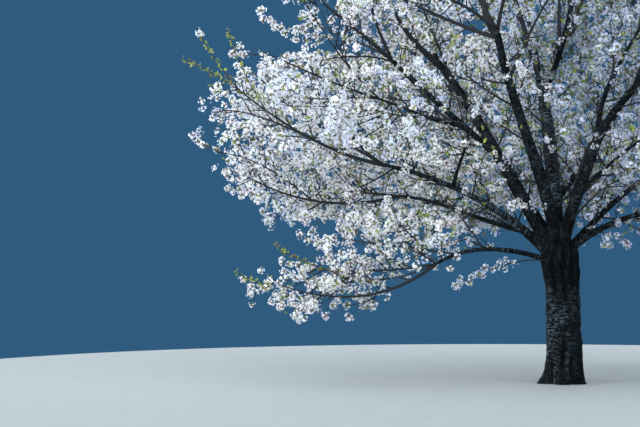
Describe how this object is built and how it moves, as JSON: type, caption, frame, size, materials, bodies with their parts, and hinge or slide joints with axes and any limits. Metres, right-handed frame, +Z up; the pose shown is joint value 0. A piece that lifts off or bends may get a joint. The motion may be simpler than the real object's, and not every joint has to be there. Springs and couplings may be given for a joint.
{
  "type": "white cherry tree",
  "caption": "Mature white cherry tree in full blossom: a stout low trunk that forks into long spreading boughs under a broad rounded crown, with young leaves among the flowers.",
  "frame": {"origin": "centre of the flat cut under the trunk, at ground level", "axes": "+Z up from the ground; -X is the side to which the longest low limb reaches, left in the picture; +Y goes away from the viewer of the picture"},
  "size_m": [8.3091, 6.8363, 6.8617],
  "materials": {
    "bark": "dark grey ring-banded bark",
    "blossom": "matt white petals"
  },
  "bodies": {
    "root": {"trunk": "bark", "bough_left_long": "bark", "bough_left_leader": "bark", "bough_front_leader": "bark", "bough_centre_leader": "bark", "bough_right_leader": "bark", "bough_back": "bark", "bough_back_left": "bark", "bough_right_low": "bark", "bough_right_second": "bark", "bough_left_low": "bark", "bough_left_second": "bark", "bough_left_upper": "bark", "bough_left_middle": "bark", "bough_front_left": "bark", "bough_centre_upper": "bark", "bough_right_back": "bark", "bough_right_outer": "bark", "bough_right_upper": "bark", "bough_front_right": "bark", "blossom_left_long_1": "blossom", "blossom_left_long_2": "blossom", "blossom_left_leader_1": "blossom", "blossom_left_leader_2": "blossom", "blossom_front_leader_1": "blossom", "blossom_front_leader_2": "blossom", "blossom_front_leader_3": "blossom", "blossom_centre_leader_1": "blossom", "blossom_centre_leader_2": "blossom", "blossom_back_1": "blossom", "blossom_back_2": "blossom", "blossom_back_3": "blossom", "blossom_back_left_1": "blossom", "blossom_back_left_2": "blossom", "blossom_right_low_1": "blossom", "blossom_right_low_2": "blossom", "blossom_right_second_1": "blossom", "blossom_right_second_2": "blossom", "blossom_right_second_3": "blossom", "blossom_left_low_1": "blossom", "blossom_left_low_2": "blossom", "blossom_left_second_1": "blossom", "blossom_left_second_2": "blossom", "blossom_left_upper_1": "blossom", "blossom_left_upper_2": "blossom", "blossom_left_middle_1": "blossom", "blossom_left_middle_2": "blossom", "blossom_left_middle_3": "blossom", "blossom_front_left_1": "blossom", "blossom_centre_upper_1": "blossom", "blossom_centre_upper_2": "blossom", "blossom_right_back_1": "blossom", "blossom_right_back_2": "blossom", "blossom_right_outer_1": "blossom", "blossom_right_outer_2": "blossom", "blossom_right_upper_1": "blossom", "blossom_right_upper_2": "blossom", "blossom_right_upper_3": "blossom", "blossom_front_right_1": "blossom", "blossom_front_right_2": "blossom"}
  },
  "joints": []
}
